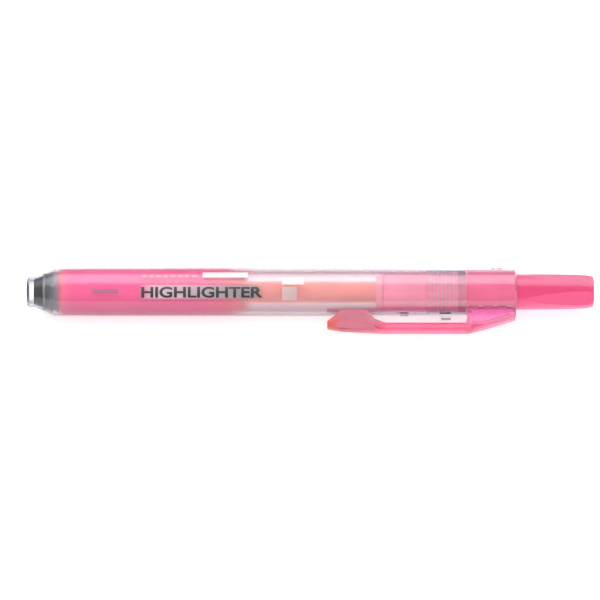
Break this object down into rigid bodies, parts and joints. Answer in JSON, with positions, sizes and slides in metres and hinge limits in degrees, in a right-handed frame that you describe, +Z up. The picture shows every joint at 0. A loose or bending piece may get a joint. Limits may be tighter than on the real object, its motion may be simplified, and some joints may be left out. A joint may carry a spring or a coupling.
{
  "type": "retractable highlighter",
  "caption": "Knock-action highlighter with a clear round barrel, shuttered nose, chisel nib on a sliding ink cartridge, long tubular button and a springy side clip.",
  "frame": {"origin": "on the pen's axis, halfway along its length", "axes": "+X along the pen towards the knock button, +Z up as it lies on its barrel and clip, clip towards -Y"},
  "size_m": [0.148, 0.0171, 0.0127],
  "materials": {
    "clear_plastic": "clear polished",
    "black_plastic": "satin",
    "black_rubber": "matt",
    "spring_steel": "drawn wire",
    "pink_plastic": "fluorescent translucent",
    "pink_clip_plastic": "fluorescent clear",
    "ink_fibre": "ink-soaked fibre",
    "nib_fibre": "dense fibre",
    "white_plastic": "satin",
    "salmon_plastic": "satin translucent"
  },
  "bodies": {
    "barrel": {"nose_cap": "clear_plastic", "shutter_housing": "black_plastic", "mouth_seal": "black_rubber", "shutter_pin_left": "spring_steel", "shutter_pin_right": "spring_steel", "shutter_spring": "spring_steel", "inner_sleeve": "pink_plastic", "front_barrel": "clear_plastic", "rear_barrel": "clear_plastic", "clip_root": "pink_clip_plastic", "return_spring": "spring_steel"},
    "slider": {"nib": "nib_fibre", "nib_holder": "white_plastic", "sealing_ring": "black_rubber", "cartridge_tube": "white_plastic", "ink_reservoir": "ink_fibre", "cartridge_plug": "white_plastic", "cartridge_tail": "salmon_plastic", "tail_socket": "white_plastic", "knock_button": "pink_plastic"},
    "shutter": {"shutter_door": "black_plastic"},
    "latch": {"latch_ring": "pink_plastic"},
    "clip": {"clip_arm": "pink_clip_plastic"}
  },
  "joints": [
    {"name": "knock_slide", "type": "slide", "parent": "barrel", "child": "slider", "axis": [-1, 0, 0], "range_m": [0, 0.0125], "stiffness_N_per_m": 120, "springref_m": -0.006, "deforming": ["return_spring"]},
    {"name": "shutter_swing", "type": "hinge", "parent": "barrel", "child": "shutter", "pos_m": [-0.067, 0, 0], "axis": [0, 0.4185, -0.9082], "range_deg": [0, 120], "deforming": ["shutter_spring"]},
    {"name": "latch_turn", "type": "hinge", "parent": "barrel", "child": "latch", "pos_m": [0.02125, 0, 0], "axis": [1, 0, 0], "range_deg": [0, 25]},
    {"name": "clip_flex", "type": "hinge", "parent": "barrel", "child": "clip", "pos_m": [0.0386, -0.00926, -0.00427], "axis": [0, -0.4185, 0.9082], "range_deg": [0, 6], "stiffness_Nm_per_rad": 0.15}
  ],
  "couplings": [
    {"joint": "shutter_swing", "follows": "knock_slide", "rad_per_m": 167.55},
    {"joint": "latch_turn", "follows": "knock_slide", "rad_per_m": 34.907}
  ]
}
